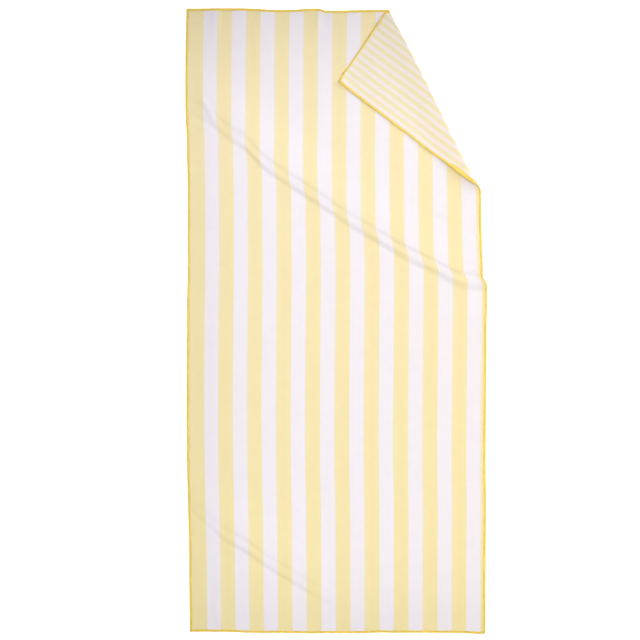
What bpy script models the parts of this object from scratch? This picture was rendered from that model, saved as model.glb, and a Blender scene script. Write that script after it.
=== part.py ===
"""Beach towel spread out flat, with its top right corner turned over.

The cloth and the four runs of its overlocked edging are first made flat, in cut coordinates:
across the towel from its left edge, along it from its bottom edge, and above the middle of the
cloth's thickness. One function, lay(), then carries every point to where it lies: it rolls the
corner over, raises the two soft ridges, lets the edges wander and stands the edging on the ground.

Metres, +Z up. The ground is z = 0, +Y runs along the towel towards the turned corner, and the
origin is under the middle of the towel's box.
"""

import math

import bmesh
import bpy
import numpy as np

# The towel as it lies, over its edging
TOWEL_WIDTH = 0.860
TOWEL_LENGTH = 1.790
CLOTH_THICKNESS = 0.0012

# Overlocked edging: a strip of thread wrapped over the raw edge
EDGING_WIDTH = 0.0075
THREAD_THICKNESS = 0.0007
GAP = 0.0003
EDGING_HALF_DEPTH = CLOTH_THICKNESS / 2 + GAP + THREAD_THICKNESS
RAW_EDGE_INSET = THREAD_THICKNESS + GAP
MITRE_SETBACK = GAP / math.sqrt(2)

# The cloth climbs from the ground to the middle of its edging
CLIMB_START = 0.030
CLIMB_END = 0.008
EDGE_LIFT = EDGING_HALF_DEPTH - CLOTH_THICKNESS / 2

# Turned corner. The fold line crosses the top edge at this place across the towel and the right
# edge at this place along it. The cloth rolls over it, glides down and lands on the towel.
FOLD_ON_TOP_EDGE = 0.590
FOLD_ON_RIGHT_EDGE = 1.267
ROLL_RADIUS_TOP = 0.0045
ROLL_RADIUS_RIGHT = 0.0075
FLAP_REST_HEIGHT = 0.0024
FLAP_GLIDE = 0.050
FLAP_LANDING = 0.040
# Facets round the roll, and the cloth's fold-wise lines past it
ROLL_FACETS = 9
GLIDE_CUTS = (0.016, 0.034, 0.052, 0.070, 0.092)

# The turned corner's free edges wander, and its tip curls up a little.
# Columns: along the towel before the corner is turned, drift across
FLAP_EDGE_DRIFT = np.array([
    (1.267, 0.0062),
    (1.317, 0.0052),
    (1.353, 0.0040),
    (1.390, 0.0018),
    (1.464, 0.0014),
    (1.501, -0.0002),
    (1.543, -0.0022),
    (1.580, -0.0026),
    (1.616, -0.0040),
    (1.690, -0.0054),
    (1.727, -0.0068),
    (1.764, -0.0082),
    (1.790, -0.0096),
])
# Columns: across the towel before the corner is turned, drift along
FLAP_TOP_DRIFT = np.array([
    (0.590, 0.0094),
    (0.640, 0.0072),
    (0.700, 0.0058),
    (0.742, 0.0049),
    (0.796, 0.0037),
    (0.820, 0.0048),
    (0.845, 0.0028),
    (0.860, -0.0006),
])
FLAP_DRIFT_START = 0.030
# The fold line bows out. Columns: share of its length, bow
FOLD_BOW = np.array([
    (0.00, 0.0000),
    (0.10, 0.0008),
    (0.18, 0.0026),
    (0.38, 0.0030),
    (0.50, 0.0016),
    (0.60, 0.0012),
    (0.70, -0.0008),
    (0.90, -0.0008),
    (1.00, 0.0004),
])
TIP_REACH = 0.045
TIP_LIFT = 0.005

# Two low ridges cross the towel. Each rises in two flanks with a level band between them, and then
# runs out slowly. Columns: across, along (at the middle of the lower flank), height
MAIN_RIDGE = np.array([
    (0.000, 1.502, 0.0022),
    (0.062, 1.473, 0.0050),
    (0.105, 1.435, 0.0064),
    (0.138, 1.412, 0.0072),
    (0.172, 1.390, 0.0078),
    (0.232, 1.331, 0.0088),
    (0.324, 1.268, 0.0096),
    (0.405, 1.216, 0.0094),
    (0.462, 1.176, 0.0084),
    (0.546, 1.127, 0.0094),
    (0.625, 1.078, 0.0098),
    (0.708, 1.038, 0.0096),
    (0.797, 0.995, 0.0094),
    (0.860, 0.989, 0.0076),
])
SMALL_RIDGE = np.array([
    (0.000, 0.362, 0.0016),
    (0.035, 0.331, 0.0034),
    (0.110, 0.266, 0.0064),
    (0.149, 0.245, 0.0082),
    (0.235, 0.187, 0.0066),
    (0.318, 0.137, 0.0064),
    (0.375, 0.104, 0.0048),
    (0.440, 0.080, 0.0000),
    (0.860, 0.070, 0.0000),
])
# Band: from the middle of the lower flank to the middle of the upper one. Flank: the lower flank's
# width, foot to top. The lower flank takes LOWER_SHARE of the height
MAIN_RIDGE_BAND = 0.038
MAIN_RIDGE_FLANK = 0.028
SMALL_RIDGE_BAND = 0.035
SMALL_RIDGE_FLANK = 0.021
UPPER_FLANK = 0.018
LOWER_SHARE = 0.68
RUN_OUT = 0.140
# Below the main ridge the towel lies shifted in +X. Columns: across, along (at the middle of the
# band where the shift comes in), half the band's width, shift
SIDE_STEP = np.array([
    (0.000, 1.434, 0.085, 0.0064),
    (0.092, 1.444, 0.036, 0.0066),
    (0.134, 1.418, 0.033, 0.0066),
    (0.232, 1.339, 0.029, 0.0061),
    (0.407, 1.226, 0.028, 0.0078),
    (0.510, 1.161, 0.028, 0.0093),
    (0.594, 1.122, 0.026, 0.0106),
    (0.677, 1.080, 0.023, 0.0118),
    (0.761, 1.041, 0.019, 0.0126),
    (0.803, 1.025, 0.017, 0.0126),
    (0.860, 1.011, 0.014, 0.0123),
])

# The origin lies under this place along the towel, and the side edges lie about these two lines
ORIGIN_ALONG = 0.8956
LEFT_EDGE_X = -0.4324
RIGHT_EDGE_X = 0.4182

# Wandering side edges. Columns: along, drift in +X
LEFT_EDGE_DRIFT = np.array([
    (0.000, 0.0055),
    (0.090, 0.0040),
    (0.200, 0.0030),
    (0.375, -0.0005),
    (0.490, -0.0030),
    (0.630, -0.0045),
    (0.920, -0.0030),
    (1.060, -0.0010),
    (1.175, -0.0010),
    (1.270, -0.0011),
    (1.330, -0.0020),
    (1.375, -0.0032),
    (1.425, -0.0014),
    (1.530, -0.0012),
    (1.635, -0.0012),
    (1.790, 0.0020),
])
RIGHT_EDGE_DRIFT = np.array([
    (0.000, -0.0012),
    (0.230, -0.0004),
    (0.345, 0.0009),
    (0.480, -0.0004),
    (0.630, 0.0005),
    (0.810, 0.0022),
    (0.880, 0.0024),
    (0.930, 0.0036),
    (0.990, 0.0036),
    (1.030, 0.0034),
    (1.090, 0.0017),
    (1.175, -0.0003),
    (1.260, -0.0014),
    (1.790, -0.0009),
])
# Wandering end edges. Columns: across, drift in +Y
TOP_EDGE_DRIFT = np.array([
    (0.000, 0.0031),
    (0.080, 0.0040),
    (0.150, 0.0043),
    (0.216, 0.0021),
    (0.265, -0.0006),
    (0.310, -0.0003),
    (0.355, 0.0030),
    (0.385, 0.0033),
    (0.405, -0.0022),
    (0.440, -0.0030),
    (0.485, -0.0014),
    (0.560, -0.0003),
    (0.860, 0.0000),
])
BOTTOM_EDGE_DRIFT = np.array([
    (0.000, 0.0024),
    (0.120, 0.0020),
    (0.155, 0.0000),
    (0.190, -0.0009),
    (0.260, -0.0010),
    (0.355, -0.0024),
    (0.400, -0.0018),
    (0.445, -0.0021),
    (0.495, -0.0018),
    (0.560, 0.0000),
    (0.590, -0.0008),
    (0.640, -0.0006),
    (0.740, -0.0007),
    (0.800, -0.0021),
    (0.840, -0.0040),
    (0.860, -0.0032),
])
DRIFT_REACH = 0.150

# Grid of the cloth: lines next to each edge, lines along each ridge (from the middle of its lower
# flank) and even rows between
MARGIN_LINES = np.array([RAW_EDGE_INSET, CLIMB_END, 0.018, CLIMB_START])
COLUMNS_BETWEEN_MARGINS = 24
MAIN_RIDGE_LINES = np.array([
    -0.020, -0.014, -0.008, -0.003, 0.003, 0.008, 0.014, 0.029, 0.035, 0.041, 0.047, 0.066,
])
SMALL_RIDGE_LINES = np.array([-0.0105, -0.004, 0.004, 0.0105, 0.026, 0.035, 0.044, 0.064])
ROWS_BELOW_SMALL_RIDGE = 3
ROWS_BETWEEN_RIDGES = 15
ROWS_ABOVE_MAIN_RIDGE = 8

# Step used to read the cloth's slope, and how near a fold line counts as on it
NORMAL_STEP = 0.0002
CUT_TOLERANCE = 1e-6

# Colours
CLOTH_COLOUR = (0.93, 0.86, 0.62, 1.0)
EDGING_COLOUR = (0.86, 0.62, 0.09, 1.0)


def ease(t):
    """Rise from 0 to 1 with level ends, as t goes from 0 to 1."""
    t = np.clip(t, 0.0, 1.0)
    return t * t * (3.0 - 2.0 * t)


def read_table(table, column, at):
    """Value of one column at each station: a smooth curve that never swings past its rows."""
    stations = table[:, 0]
    values = table[:, column]
    secants = np.diff(values) / np.diff(stations)
    before = secants[:-1]
    after = secants[1:]
    same_way = before * after > 0.0
    slopes = np.concatenate((secants[:1], np.zeros(len(before)), secants[-1:]))
    slopes[1:-1][same_way] = 2.0 * (before * after)[same_way] / (before + after)[same_way]
    at = np.clip(at, stations[0], stations[-1])
    row = np.clip(np.searchsorted(stations, at) - 1, 0, len(stations) - 2)
    span = stations[row + 1] - stations[row]
    t = (at - stations[row]) / span
    start = values[row] * (1 + 2 * t) * (1 - t) ** 2 + slopes[row] * span * t * (1 - t) ** 2
    end = values[row + 1] * t * t * (3 - 2 * t) - slopes[row + 1] * span * t * t * (1 - t)
    return start + end


def ridge_rise(table, band, flank, across, along):
    """A ridge that rises in two flanks and runs out slowly, as high as its table says."""
    across = np.clip(across, CLIMB_END, TOWEL_WIDTH - CLIMB_END)
    past = along - read_table(table, 1, across)
    lower = LOWER_SHARE * ease(past / flank + 0.5)
    upper = (1.0 - LOWER_SHARE) * ease((past - band) / UPPER_FLANK + 0.5)
    run_out = ease((past - band) / RUN_OUT)
    return read_table(table, 2, across) * (lower + upper - run_out)


def edge_climb(across, along):
    """Lift of the cloth next to its four edges, where it rises to the middle of the edging."""
    inside = np.minimum(np.minimum(across, TOWEL_WIDTH - across),
                        np.minimum(along, TOWEL_LENGTH - along))
    return EDGE_LIFT * (1.0 - ease((inside - CLIMB_END) / (CLIMB_START - CLIMB_END)))


def fold_axes():
    """Start of the fold line on the top edge, its direction, the way out past it, its length."""
    start = np.array((FOLD_ON_TOP_EDGE, TOWEL_LENGTH))
    end = np.array((TOWEL_WIDTH, FOLD_ON_RIGHT_EDGE))
    length = np.linalg.norm(end - start)
    direction = (end - start) / length
    outwards = np.array((-direction[1], direction[0]))
    return start, direction, outwards, length


def roll_radius(share):
    """Radius of the rolled fold at a share of the fold line's length."""
    return ROLL_RADIUS_TOP + (ROLL_RADIUS_RIGHT - ROLL_RADIUS_TOP) * share


def pull_flap(across, along, share):
    """Wander the two free edges of the turned corner and lift its tip."""
    from_tip = np.hypot(TOWEL_WIDTH - across, TOWEL_LENGTH - along)
    lift = TIP_LIFT * ease(1.0 - from_tip / TIP_REACH)
    over = read_table(FLAP_EDGE_DRIFT, 1, along) * share
    near_top = ease(1.0 - (TOWEL_LENGTH - along) / DRIFT_REACH)
    up = read_table(FLAP_TOP_DRIFT, 1, across) * near_top * share
    return across + over, along + up, lift


def turn_corner(across, along):
    """Carry the corner over the fold: round the roll, down the glide, and back over the towel.

    Seen square to the fold line the cloth is a row of arcs and straight runs, each with a length
    and a turn, and a point past the fold line walks along them.
    """
    start, direction, outwards, length = fold_axes()
    past_line = (across - start[0]) * outwards[0] + (along - start[1]) * outwards[1]
    across, along, height = pull_flap(across, along, ease(past_line / FLAP_DRIFT_START))
    down_line = (across - start[0]) * direction[0] + (along - start[1]) * direction[1]
    past_line = (across - start[0]) * outwards[0] + (along - start[1]) * outwards[1]
    radius = roll_radius(down_line / length)
    glide_angle = (2 * radius - FLAP_REST_HEIGHT) / (FLAP_GLIDE + FLAP_LANDING / 2)
    pieces = (
        ((math.pi + glide_angle) * radius, math.pi + glide_angle),
        (FLAP_GLIDE, 0.0),
        (FLAP_LANDING, -glide_angle),
    )
    left_over = np.maximum(past_line + radius, 0.0)
    out = np.minimum(past_line, -radius)
    heading = np.zeros_like(out)
    for piece_length, piece_turn in pieces:
        walked = np.minimum(left_over, piece_length)
        turned = piece_turn * walked / piece_length
        chord = walked * np.sinc(turned / (2 * math.pi))
        out = out + chord * np.cos(heading + turned / 2)
        height = height + chord * np.sin(heading + turned / 2)
        heading = heading + turned
        left_over = left_over - walked
    out = out - left_over
    return (start[0] + down_line * direction[0] + out * outwards[0],
            start[1] + down_line * direction[1] + out * outwards[1], height)


def bow_out(across, along):
    """Move the cloth next to the fold line outwards, as its table says."""
    start, direction, outwards, length = fold_axes()
    down_line = (across - start[0]) * direction[0] + (along - start[1]) * direction[1]
    inside = (start[0] - across) * outwards[0] + (start[1] - along) * outwards[1]
    near_line = ease(1.0 - inside / DRIFT_REACH)
    bow = read_table(FOLD_BOW, 1, down_line / length) * near_line
    return across + bow * outwards[0], along + bow * outwards[1]


def spread_out(across, along):
    """From even plan coordinates to where the wandering edges put the point on the ground."""
    left = LEFT_EDGE_X + read_table(LEFT_EDGE_DRIFT, 1, along)
    right = RIGHT_EDGE_X + read_table(RIGHT_EDGE_DRIFT, 1, along)
    share = across / TOWEL_WIDTH
    in_band = (along - read_table(SIDE_STEP, 1, across)) / read_table(SIDE_STEP, 2, across)
    below = 1.0 - ease(in_band / 2 + 0.5)
    shift = read_table(SIDE_STEP, 3, across) * below
    near_top = ease(1.0 - (TOWEL_LENGTH - along) / DRIFT_REACH)
    near_bottom = ease(1.0 - along / DRIFT_REACH)
    drift = (read_table(TOP_EDGE_DRIFT, 1, across) * near_top
             + read_table(BOTTOM_EDGE_DRIFT, 1, across) * near_bottom)
    return left + (right - left) * share + shift, along + drift - ORIGIN_ALONG


def middle(across, along):
    """Place on the middle of the cloth's thickness, for points given in cut coordinates."""
    rise = (CLOTH_THICKNESS / 2 + edge_climb(across, along)
            + ridge_rise(MAIN_RIDGE, MAIN_RIDGE_BAND, MAIN_RIDGE_FLANK, across, along)
            + ridge_rise(SMALL_RIDGE, SMALL_RIDGE_BAND, SMALL_RIDGE_FLANK, across, along))
    plan_across, plan_along, height = turn_corner(across, along)
    x, y = spread_out(*bow_out(plan_across, plan_along))
    return np.stack((x, y, rise + height), axis=-1)


def lay(points):
    """Carry flat points (across, along, above the cloth's middle) to where the towel lies."""
    across, along, above = points.T
    nudge = NORMAL_STEP
    over = middle(across + nudge, along) - middle(across - nudge, along)
    up = middle(across, along + nudge) - middle(across, along - nudge)
    normal = np.cross(over, up)
    normal /= np.linalg.norm(normal, axis=1, keepdims=True)
    return middle(across, along) + normal * above[:, None]


def even_rows(lower, upper, count):
    """Rows spaced evenly between two lines, neither of them included."""
    shares = np.arange(1, count + 1) / (count + 1)
    return lower + (upper - lower) * shares[:, None]


def cloth_columns():
    """Places of the cloth's columns, across the towel."""
    between = np.linspace(CLIMB_START, TOWEL_WIDTH - CLIMB_START, COLUMNS_BETWEEN_MARGINS + 2)
    return np.concatenate((MARGIN_LINES, between[1:-1], TOWEL_WIDTH - MARGIN_LINES[::-1]))


def cloth_rows(across):
    """Places of the cloth's rows along the towel, at each column: they follow the two ridges."""
    inner = np.clip(across, CLIMB_END, TOWEL_WIDTH - CLIMB_END)
    level = np.ones_like(across)
    bottom = MARGIN_LINES[:, None] * level
    small = read_table(SMALL_RIDGE, 1, inner) + SMALL_RIDGE_LINES[:, None]
    main = read_table(MAIN_RIDGE, 1, inner) + MAIN_RIDGE_LINES[:, None]
    top = (TOWEL_LENGTH - MARGIN_LINES[::-1])[:, None] * level
    return np.concatenate((
        bottom,
        even_rows(bottom[-1], small[0], ROWS_BELOW_SMALL_RIDGE),
        small,
        even_rows(small[-1], main[0], ROWS_BETWEEN_RIDGES),
        main,
        even_rows(main[-1], top[0], ROWS_ABOVE_MAIN_RIDGE),
        top,
    ))


def cut_along_fold(shape):
    """Add the fold's facet lines to a flat shape, all of them straight lines in cut coordinates."""
    start, direction, outwards, length = fold_axes()
    turns = math.pi * np.arange(ROLL_FACETS + 1) / ROLL_FACETS
    lines = [((turn - 1) * roll_radius(0.0), (turn - 1) * roll_radius(1.0)) for turn in turns]
    past_roll_top, past_roll_right = lines[-1]
    lines += [(past_roll_top + cut, past_roll_right + cut) for cut in GLIDE_CUTS]
    for past_top, past_right in lines:
        first = start + outwards * past_top
        last = start + direction * length + outwards * past_right
        run = last - first
        bmesh.ops.bisect_plane(
            shape,
            geom=shape.verts[:] + shape.edges[:] + shape.faces[:],
            dist=CUT_TOLERANCE,
            plane_co=(first[0], first[1], 0.0),
            plane_no=(-run[1], run[0], 0.0),
        )


def finish_piece(name, shape, material, collection):
    """Cut a flat shape at the fold, lay it on the ground and make it an object."""
    cut_along_fold(shape)
    flat = np.array([vert.co[:] for vert in shape.verts])
    for vert, place in zip(shape.verts, lay(flat)):
        vert.co = place
    bmesh.ops.recalc_face_normals(shape, faces=shape.faces)
    mesh = bpy.data.meshes.new(name)
    shape.to_mesh(mesh)
    shape.free()
    mesh.materials.append(material)
    mesh.shade_smooth()
    piece = bpy.data.objects.new(name, mesh)
    collection.objects.link(piece)
    return piece


def make_cloth(material, collection):
    """The one length of cloth: a flat grid with a thickness, laid on the ground."""
    columns = cloth_columns()
    rows = cloth_rows(columns)
    shape = bmesh.new()
    bmesh.ops.create_grid(shape, x_segments=len(columns) - 1, y_segments=len(rows) - 1, size=1.0)
    for vert in shape.verts:
        column = round((vert.co.x + 1) / 2 * (len(columns) - 1))
        row = round((vert.co.y + 1) / 2 * (len(rows) - 1))
        vert.co = (columns[column], rows[row, column], -CLOTH_THICKNESS / 2)
    grown = bmesh.ops.extrude_face_region(shape, geom=shape.faces[:])["geom"]
    upper = [item for item in grown if isinstance(item, bmesh.types.BMVert)]
    bmesh.ops.translate(shape, verts=upper, vec=(0.0, 0.0, CLOTH_THICKNESS))
    return finish_piece("towel_cloth", shape, material, collection)


def edging_profile():
    """Section of the edging, as (in from the towel's outline, above the cloth's middle)."""
    outer = EDGING_HALF_DEPTH
    inner = CLOTH_THICKNESS / 2 + GAP
    bevel = THREAD_THICKNESS
    upper = [
        (0.0, outer - bevel),
        (bevel, outer),
        (EDGING_WIDTH - bevel, outer),
        (EDGING_WIDTH, inner),
        (THREAD_THICKNESS, inner),
    ]
    lower = [(inset, -above) for inset, above in reversed(upper)]
    return upper + lower


def make_edging_run(name, stations, place, material, collection):
    """One run of edging along one edge, with its ends mitred to meet the next runs.

    stations are the places along the edge where it is divided, and place turns (station, inset)
    into cut coordinates.
    """
    shape = bmesh.new()
    ring = [shape.verts.new((inset, 0.0, above)) for inset, above in edging_profile()]
    section = shape.faces.new(ring)
    last = len(stations) - 1
    for number in range(last):
        grown = bmesh.ops.extrude_face_region(shape, geom=[section])["geom"]
        if number > 0:
            bmesh.ops.delete(shape, geom=[section], context="FACES_ONLY")
        section = next(item for item in grown if isinstance(item, bmesh.types.BMFace))
        bmesh.ops.translate(shape, verts=section.verts, vec=(0.0, 1.0, 0.0))
    for vert in shape.verts:
        inset, number, above = vert.co
        number = round(number)
        station = stations[number]
        if number == 0:
            station = inset + MITRE_SETBACK
        if number == last:
            station = stations[last] + RAW_EDGE_INSET - inset - MITRE_SETBACK
        vert.co = (*place(station, inset), above)
    return finish_piece(name, shape, material, collection)


def make_edging(material, collection):
    """The four runs of edging, one to each side, divided where the cloth's edge is."""
    columns = cloth_columns()
    rows = cloth_rows(columns)
    runs = {
        "edging_left": (rows[:, 0], lambda station, inset: (inset, station)),
        "edging_right": (rows[:, -1], lambda station, inset: (TOWEL_WIDTH - inset, station)),
        "edging_bottom": (columns, lambda station, inset: (station, inset)),
        "edging_top": (columns, lambda station, inset: (station, TOWEL_LENGTH - inset)),
    }
    for name, (stations, place) in runs.items():
        make_edging_run(name, stations, place, material, collection)


def make_material(name, colour, roughness):
    """A plain matt surface."""
    material = bpy.data.materials.new(name)
    material.use_nodes = True
    surface = material.node_tree.nodes["Principled BSDF"]
    surface.inputs["Base Color"].default_value = colour
    surface.inputs["Roughness"].default_value = roughness
    surface.inputs["Metallic"].default_value = 0.0
    return material


def clear_scene():
    """Remove the objects that the scene starts with."""
    for item in list(bpy.data.objects):
        bpy.data.objects.remove(item, do_unlink=True)


def main():
    """Make the towel in a collection of its own."""
    clear_scene()
    collection = bpy.data.collections.new("beach_towel")
    bpy.context.scene.collection.children.link(collection)
    make_cloth(make_material("printed_cloth", CLOTH_COLOUR, 0.9), collection)
    make_edging(make_material("edging_thread", EDGING_COLOUR, 0.7), collection)


main()
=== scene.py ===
"""Beach towel laid out flat on a pale floor, its top right corner turned over to show the back.

Everything on the towel is first worked out flat, in cut coordinates in metres: across from its
left edge, along from its bottom edge, and above the middle of the cloth's thickness. lay() then
carries whole arrays of points to where they lie on the floor, which is z = 0.
"""

import math

import bmesh
import bpy
import numpy as np
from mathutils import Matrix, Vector

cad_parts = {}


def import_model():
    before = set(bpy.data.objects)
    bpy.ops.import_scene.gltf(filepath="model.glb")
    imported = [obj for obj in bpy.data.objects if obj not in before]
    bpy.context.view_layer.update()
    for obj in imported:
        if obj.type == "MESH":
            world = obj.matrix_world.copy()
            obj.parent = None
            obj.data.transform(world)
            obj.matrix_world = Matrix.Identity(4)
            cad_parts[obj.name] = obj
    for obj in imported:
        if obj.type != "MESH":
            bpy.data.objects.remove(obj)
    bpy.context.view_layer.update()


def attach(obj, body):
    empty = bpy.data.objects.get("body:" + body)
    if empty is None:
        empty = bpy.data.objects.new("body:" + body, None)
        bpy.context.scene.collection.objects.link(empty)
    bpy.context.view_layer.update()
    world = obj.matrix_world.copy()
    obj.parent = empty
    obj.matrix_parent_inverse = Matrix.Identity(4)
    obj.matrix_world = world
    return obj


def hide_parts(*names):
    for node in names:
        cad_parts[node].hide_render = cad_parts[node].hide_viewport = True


# ---------------------------------------------------------------- the towel as it lies

TOWEL_WIDTH = 0.860
TOWEL_LENGTH = 1.790
CLOTH_THICKNESS = 0.0012

# Overlocked edging
EDGING_WIDTH = 0.0075
EDGING_HALF_DEPTH = 0.0016
RAW_EDGE_INSET = 0.0010

# The cloth climbs from the floor to the middle of its edging
CLIMB_START = 0.030
CLIMB_END = 0.008
EDGE_LIFT = EDGING_HALF_DEPTH - CLOTH_THICKNESS / 2

# Turned corner
FOLD_ON_TOP_EDGE = 0.590
FOLD_ON_RIGHT_EDGE = 1.267
ROLL_RADIUS_TOP = 0.0045
ROLL_RADIUS_RIGHT = 0.0075
# Past the roll the flap glides down and then levels out this high above the cloth under it
FLAP_REST_HEIGHT = 0.0024
FLAP_GLIDE = 0.050
FLAP_LANDING = 0.040
# Columns: along the towel before the corner is turned, drift across
FLAP_EDGE_DRIFT = np.array([
    (1.267, 0.0062),
    (1.317, 0.0052),
    (1.353, 0.0040),
    (1.390, 0.0018),
    (1.464, 0.0014),
    (1.501, -0.0002),
    (1.543, -0.0022),
    (1.580, -0.0026),
    (1.616, -0.0040),
    (1.690, -0.0054),
    (1.727, -0.0068),
    (1.764, -0.0082),
    (1.790, -0.0096),
])
# Columns: across the towel before the corner is turned, drift along
FLAP_TOP_DRIFT = np.array([
    (0.590, 0.0094),
    (0.640, 0.0072),
    (0.700, 0.0058),
    (0.742, 0.0049),
    (0.796, 0.0037),
    (0.820, 0.0048),
    (0.845, 0.0028),
    (0.860, -0.0006),
])
# The drift eases in over this distance past the fold line
FLAP_DRIFT_START = 0.030
# The fold line bows out. Columns: share of its length, bow
FOLD_BOW = np.array([
    (0.00, 0.0000),
    (0.10, 0.0008),
    (0.18, 0.0026),
    (0.38, 0.0030),
    (0.50, 0.0016),
    (0.60, 0.0012),
    (0.70, -0.0008),
    (0.90, -0.0008),
    (1.00, 0.0004),
])
# The turned corner's tip stands up a little, from this far away
TIP_REACH = 0.045
TIP_LIFT = 0.005

# Two low ridges cross the towel. Each rises in two flanks with a level band between them, and then
# runs out slowly. Columns: across, along (at the middle of the lower flank), height
MAIN_RIDGE = np.array([
    (0.000, 1.502, 0.0022),
    (0.062, 1.473, 0.0050),
    (0.105, 1.435, 0.0064),
    (0.138, 1.412, 0.0072),
    (0.172, 1.390, 0.0078),
    (0.232, 1.331, 0.0088),
    (0.324, 1.268, 0.0096),
    (0.405, 1.216, 0.0094),
    (0.462, 1.176, 0.0084),
    (0.546, 1.127, 0.0094),
    (0.625, 1.078, 0.0098),
    (0.708, 1.038, 0.0096),
    (0.797, 0.995, 0.0094),
    (0.860, 0.989, 0.0076),
])
SMALL_RIDGE = np.array([
    (0.000, 0.362, 0.0016),
    (0.035, 0.331, 0.0034),
    (0.110, 0.266, 0.0064),
    (0.149, 0.245, 0.0082),
    (0.235, 0.187, 0.0066),
    (0.318, 0.137, 0.0064),
    (0.375, 0.104, 0.0048),
    (0.440, 0.080, 0.0000),
    (0.860, 0.070, 0.0000),
])
# Band: from the middle of the lower flank to the middle of the upper one. Flank: the lower flank's
# width, foot to top. The lower flank takes LOWER_SHARE of the height
MAIN_RIDGE_BAND = 0.039
MAIN_RIDGE_FLANK = 0.026
SMALL_RIDGE_BAND = 0.035
SMALL_RIDGE_FLANK = 0.021
UPPER_FLANK = 0.020
LOWER_SHARE = 0.68
RUN_OUT = 0.140
# Below the main ridge the towel lies shifted in +X. Columns: across, along (at the middle of the
# band where the shift comes in), half the band's width, shift
SIDE_STEP = np.array([
    (0.000, 1.434, 0.085, 0.0064),
    (0.092, 1.444, 0.036, 0.0066),
    (0.134, 1.418, 0.033, 0.0066),
    (0.232, 1.339, 0.029, 0.0061),
    (0.407, 1.226, 0.028, 0.0078),
    (0.510, 1.161, 0.028, 0.0093),
    (0.594, 1.122, 0.026, 0.0106),
    (0.677, 1.080, 0.023, 0.0118),
    (0.761, 1.041, 0.019, 0.0126),
    (0.803, 1.025, 0.017, 0.0126),
    (0.860, 1.011, 0.014, 0.0123),
])

# Where the scene's origin lies along the towel, and where its side edges lie in X before they step
# and wander
ORIGIN_ALONG = 0.8956
LEFT_EDGE_X = -0.4324
RIGHT_EDGE_X = 0.4182

# Wandering side edges. Columns: along, drift in +X
LEFT_EDGE_DRIFT = np.array([
    (0.000, 0.0055),
    (0.090, 0.0040),
    (0.200, 0.0030),
    (0.375, -0.0005),
    (0.490, -0.0030),
    (0.630, -0.0045),
    (0.920, -0.0030),
    (1.060, -0.0010),
    (1.175, -0.0010),
    (1.270, -0.0011),
    (1.330, -0.0020),
    (1.375, -0.0032),
    (1.425, -0.0014),
    (1.530, -0.0012),
    (1.635, -0.0012),
    (1.790, 0.0020),
])
RIGHT_EDGE_DRIFT = np.array([
    (0.000, -0.0012),
    (0.230, -0.0004),
    (0.345, 0.0009),
    (0.480, -0.0004),
    (0.630, 0.0005),
    (0.810, 0.0022),
    (0.880, 0.0024),
    (0.930, 0.0036),
    (0.990, 0.0036),
    (1.030, 0.0034),
    (1.090, 0.0017),
    (1.175, -0.0003),
    (1.260, -0.0014),
    (1.790, -0.0009),
])
# Wandering end edges. Columns: across, drift in +Y
TOP_EDGE_DRIFT = np.array([
    (0.000, 0.0031),
    (0.080, 0.0040),
    (0.150, 0.0043),
    (0.216, 0.0021),
    (0.265, -0.0006),
    (0.310, -0.0003),
    (0.355, 0.0030),
    (0.385, 0.0033),
    (0.405, -0.0022),
    (0.440, -0.0030),
    (0.485, -0.0014),
    (0.560, -0.0003),
    (0.860, 0.0000),
])
BOTTOM_EDGE_DRIFT = np.array([
    (0.000, 0.0024),
    (0.120, 0.0020),
    (0.155, 0.0000),
    (0.190, -0.0009),
    (0.260, -0.0010),
    (0.355, -0.0024),
    (0.400, -0.0018),
    (0.445, -0.0021),
    (0.495, -0.0018),
    (0.560, 0.0000),
    (0.590, -0.0008),
    (0.640, -0.0006),
    (0.740, -0.0007),
    (0.800, -0.0021),
    (0.840, -0.0040),
    (0.860, -0.0032),
])
# The end edges' drift, and the fold line's bow, ease away over this distance
DRIFT_REACH = 0.150

# Small soft folds that the solid leaves out, each along a straight line and fading at its ends.
# Columns: start across, start along, end across, end along, height, half width
SMALL_FOLDS = np.array([
    (0.388, 1.800, 0.380, 1.705, 0.0034, 0.013),
    (0.417, 1.800, 0.424, 1.730, 0.0016, 0.012),
    (0.088, 1.800, 0.082, 1.690, 0.0044, 0.022),
    (0.215, 1.800, 0.206, 1.735, 0.0012, 0.018),
    (0.040, 1.545, 0.105, 1.440, 0.0032, 0.014),
    (0.012, 1.468, 0.080, 1.440, 0.0020, 0.012),
    (0.086, 0.010, 0.076, 0.110, 0.0040, 0.018),
    (0.800, 0.030, 0.690, 0.160, 0.0012, 0.022),
    (0.560, 0.150, 0.640, 0.060, 0.0010, 0.024),
    (0.700, 1.225, 0.860, 1.150, 0.0014, 0.018),
])
# Shares of its line over which a small fold rises at its start and dies out at its end
FOLD_FADE_IN = 0.250
FOLD_FADE_OUT = 0.625
# Broad unevenness of cloth that has been folded and shaken out: (wavelength across, wavelength
# along, height, phase) of each wave
BROAD_WAVES = np.array([
    (0.310, 0.260, 0.00050, 0.6),
    (0.190, -0.230, 0.00040, 2.1),
    (0.137, 0.171, 0.00030, 4.4),
    (0.093, -0.122, 0.00018, 1.3),
    (0.071, 0.410, 0.00014, 5.2),
])

# Half the distance over which the cloth's normal is measured
NORMAL_STEP = 0.0002
# Points nearer than this are one point
MERGE_DISTANCE = 1e-6


def ease(t):
    """Rise from 0 to 1 with level ends: 3 t squared less 2 t cubed, with t held to 0..1."""
    t = np.clip(t, 0.0, 1.0)
    return t * t * (3.0 - 2.0 * t)


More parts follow.
